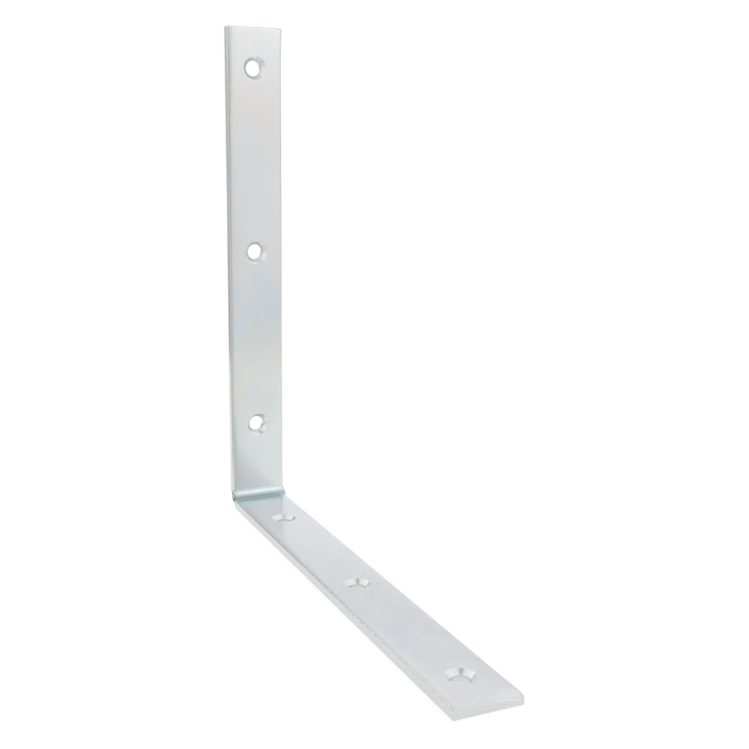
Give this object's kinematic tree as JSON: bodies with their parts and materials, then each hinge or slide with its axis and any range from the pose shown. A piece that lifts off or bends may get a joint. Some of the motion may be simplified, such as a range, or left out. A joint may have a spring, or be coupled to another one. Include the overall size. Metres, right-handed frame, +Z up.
{
  "type": "angle bracket",
  "caption": "Zinc-plated flat steel bar folded to a right angle, with a row of countersunk screw holes in each leg, for bracing the corner between boards.",
  "frame": {"origin": "middle of the footprint's box on the underside: 100 mm from the back along the lying leg, on the bar's centre line", "axes": "+X along the lying leg towards its end, +Z up the standing leg, +Y across the bar"},
  "size_m": [0.2, 0.0242, 0.2],
  "materials": {
    "zinc_steel": "bright zinc plating, satin, with faint passivation tints"
  },
  "bodies": {
    "root": {"angle_bracket": "zinc_steel"}
  },
  "joints": []
}
